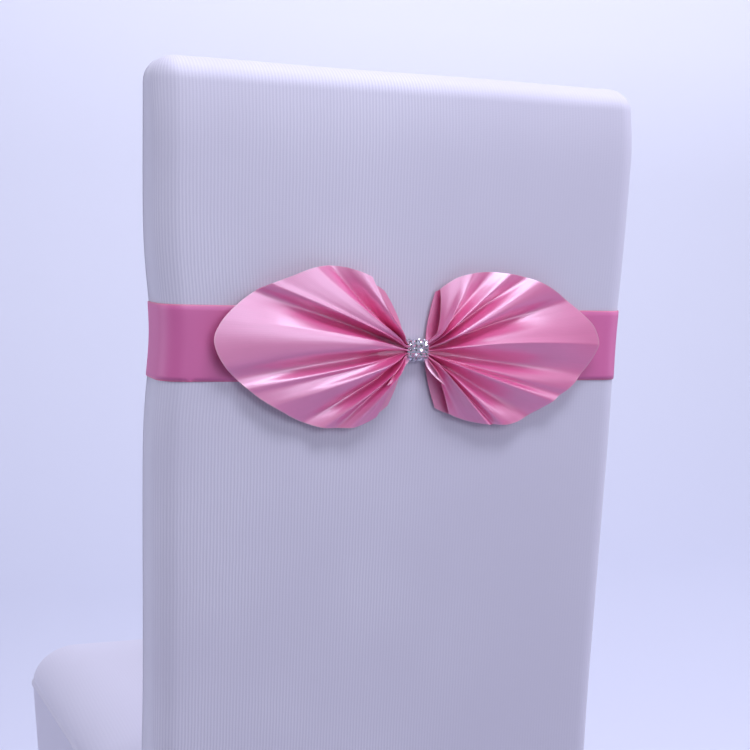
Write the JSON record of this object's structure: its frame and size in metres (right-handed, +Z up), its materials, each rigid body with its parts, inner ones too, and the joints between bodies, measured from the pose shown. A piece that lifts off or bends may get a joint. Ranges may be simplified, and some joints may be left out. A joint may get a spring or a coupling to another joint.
{
  "type": "chair cover with sash",
  "caption": "Full-length stretch cover for a high-backed dining chair, with a satin sash and a pleated butterfly bow held by a rhinestone ring.",
  "frame": {"origin": "middle of the backrest pocket, at the underside of its top, where the chair's top rail bears", "axes": "+Z up; +X to the right seen from behind the chair, where the bow is; +Y from the back towards the front of the seat"},
  "size_m": [0.4416, 0.4767, 1.04],
  "materials": {
    "cover_knit": "white stretch polyester knit, fine vertical ribs, slight sheen",
    "sash_satin": "pink polyester satin with a soft directional gloss",
    "rhinestone": "silver mesh set with clear rhinestones"
  },
  "bodies": {
    "root": {"back_panel": "cover_knit", "front_panel": "cover_knit", "seat_panel": "cover_knit", "skirt": "cover_knit", "sash_band": "sash_satin", "bow_front": "sash_satin", "bow_back": "sash_satin", "bow_ring": "rhinestone"}
  },
  "joints": []
}
